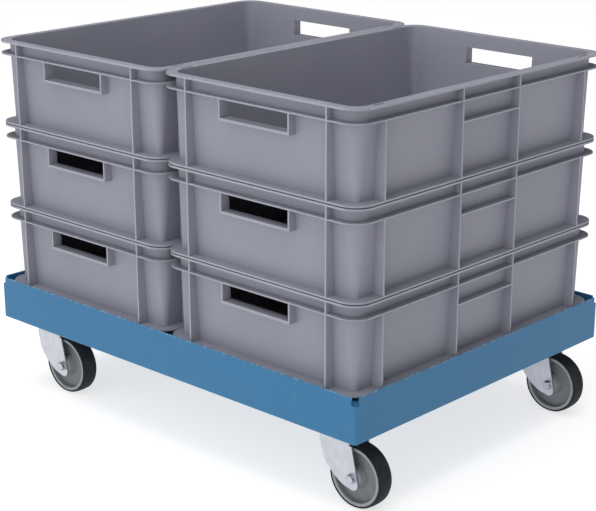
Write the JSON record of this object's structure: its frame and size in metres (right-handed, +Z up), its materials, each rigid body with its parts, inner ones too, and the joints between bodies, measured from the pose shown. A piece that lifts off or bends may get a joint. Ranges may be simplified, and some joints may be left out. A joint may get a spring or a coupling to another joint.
{
  "type": "tray dolly",
  "caption": "Low sheet-metal tray dolly on swivel casters, carrying stacks of open ribbed plastic containers that nest in its tray and lift off.",
  "frame": {"origin": "on the floor under the middle of the tray", "axes": "+X along the tray's long side, to the right seen from the front; +Y from front to rear along its short side; +Z up"},
  "size_m": [0.8235, 0.612, 0.6085],
  "materials": {
    "tray_paint": "satin blue powder coat",
    "caster_steel": "bright zinc plated pressed steel",
    "fastener_zinc": "zinc plated",
    "crate_plastic": "fine matte moulded grey",
    "wheel_plastic": "matte moulded dark grey",
    "tyre_rubber": "matte dark grey rubber"
  },
  "bodies": {
    "frame": {"front_rail": "tray_paint", "rear_rail": "tray_paint", "left_rail": "tray_paint", "right_rail": "tray_paint", "deck_plate": "tray_paint", "cross_member_left": "tray_paint", "cross_member_middle": "tray_paint", "cross_member_right": "tray_paint", "corner_bracket_front_left": "tray_paint", "caster_plate_front_left": "caster_steel", "kingpin_front_left": "fastener_zinc", "corner_bracket_front_right": "tray_paint", "caster_plate_front_right": "caster_steel", "kingpin_front_right": "fastener_zinc", "corner_bracket_rear_left": "tray_paint", "caster_plate_rear_left": "caster_steel", "kingpin_rear_left": "fastener_zinc", "corner_bracket_rear_right": "tray_paint", "caster_plate_rear_right": "caster_steel", "kingpin_rear_right": "fastener_zinc", "swivel_balls": "fastener_zinc", "mounting_bolts": "fastener_zinc", "mounting_nuts": "fastener_zinc"},
    "swivel_front_left": {"fork_front_left": "caster_steel", "axle_bolt_front_left": "fastener_zinc", "axle_nut_front_left": "fastener_zinc", "axle_washers_front_left": "fastener_zinc", "axle_sleeve_front_left": "fastener_zinc"},
    "wheel_front_left": {"wheel_core_front_left": "wheel_plastic", "tyre_front_left": "tyre_rubber"},
    "swivel_front_right": {"fork_front_right": "caster_steel", "axle_bolt_front_right": "fastener_zinc", "axle_nut_front_right": "fastener_zinc", "axle_washers_front_right": "fastener_zinc", "axle_sleeve_front_right": "fastener_zinc"},
    "wheel_front_right": {"wheel_core_front_right": "wheel_plastic", "tyre_front_right": "tyre_rubber"},
    "swivel_rear_left": {"fork_rear_left": "caster_steel", "axle_bolt_rear_left": "fastener_zinc", "axle_nut_rear_left": "fastener_zinc", "axle_washers_rear_left": "fastener_zinc", "axle_sleeve_rear_left": "fastener_zinc"},
    "wheel_rear_left": {"wheel_core_rear_left": "wheel_plastic", "tyre_rear_left": "tyre_rubber"},
    "swivel_rear_right": {"fork_rear_right": "caster_steel", "axle_bolt_rear_right": "fastener_zinc", "axle_nut_rear_right": "fastener_zinc", "axle_washers_rear_right": "fastener_zinc", "axle_sleeve_rear_right": "fastener_zinc"},
    "wheel_rear_right": {"wheel_core_rear_right": "wheel_plastic", "tyre_rear_right": "tyre_rubber"},
    "crate_left_bottom": {"crate_left_bottom": "crate_plastic"},
    "crate_left_middle": {"crate_left_middle": "crate_plastic"},
    "crate_left_top": {"crate_left_top": "crate_plastic"},
    "crate_right_bottom": {"crate_right_bottom": "crate_plastic"},
    "crate_right_middle": {"crate_right_middle": "crate_plastic"},
    "crate_right_top": {"crate_right_top": "crate_plastic"}
  },
  "joints": [
    {"name": "turn_front_left", "type": "hinge", "parent": "frame", "child": "swivel_front_left", "pos_m": [-0.3325, -0.249, 0.12], "axis": [0, 0, 1], "continuous": true},
    {"name": "roll_front_left", "type": "hinge", "parent": "swivel_front_left", "child": "wheel_front_left", "pos_m": [-0.2975, -0.249, 0.05], "axis": [0, 1, 0], "continuous": true},
    {"name": "turn_front_right", "type": "hinge", "parent": "frame", "child": "swivel_front_right", "pos_m": [0.3325, -0.249, 0.12], "axis": [0, 0, 1], "continuous": true},
    {"name": "roll_front_right", "type": "hinge", "parent": "swivel_front_right", "child": "wheel_front_right", "pos_m": [0.3675, -0.249, 0.05], "axis": [0, 1, 0], "continuous": true},
    {"name": "turn_rear_left", "type": "hinge", "parent": "frame", "child": "swivel_rear_left", "pos_m": [-0.3325, 0.249, 0.12], "axis": [0, 0, 1], "continuous": true},
    {"name": "roll_rear_left", "type": "hinge", "parent": "swivel_rear_left", "child": "wheel_rear_left", "pos_m": [-0.2975, 0.249, 0.05], "axis": [0, 1, 0], "continuous": true},
    {"name": "turn_rear_right", "type": "hinge", "parent": "frame", "child": "swivel_rear_right", "pos_m": [0.3325, 0.249, 0.12], "axis": [0, 0, 1], "continuous": true},
    {"name": "roll_rear_right", "type": "hinge", "parent": "swivel_rear_right", "child": "wheel_rear_right", "pos_m": [0.3675, 0.249, 0.05], "axis": [0, 1, 0], "continuous": true},
    {"name": "lift_left_bottom", "type": "slide", "parent": "frame", "child": "crate_left_bottom", "axis": [0, 0, 1], "range_m": [0, 0.16]},
    {"name": "lift_left_middle", "type": "slide", "parent": "crate_left_bottom", "child": "crate_left_middle", "axis": [0, 0, 1], "range_m": [0, 0.16]},
    {"name": "lift_left_top", "type": "slide", "parent": "crate_left_middle", "child": "crate_left_top", "axis": [0, 0, 1], "range_m": [0, 0.16]},
    {"name": "lift_right_bottom", "type": "slide", "parent": "frame", "child": "crate_right_bottom", "axis": [0, 0, 1], "range_m": [0, 0.16]},
    {"name": "lift_right_middle", "type": "slide", "parent": "crate_right_bottom", "child": "crate_right_middle", "axis": [0, 0, 1], "range_m": [0, 0.16]},
    {"name": "lift_right_top", "type": "slide", "parent": "crate_right_middle", "child": "crate_right_top", "axis": [0, 0, 1], "range_m": [0, 0.16]}
  ]
}
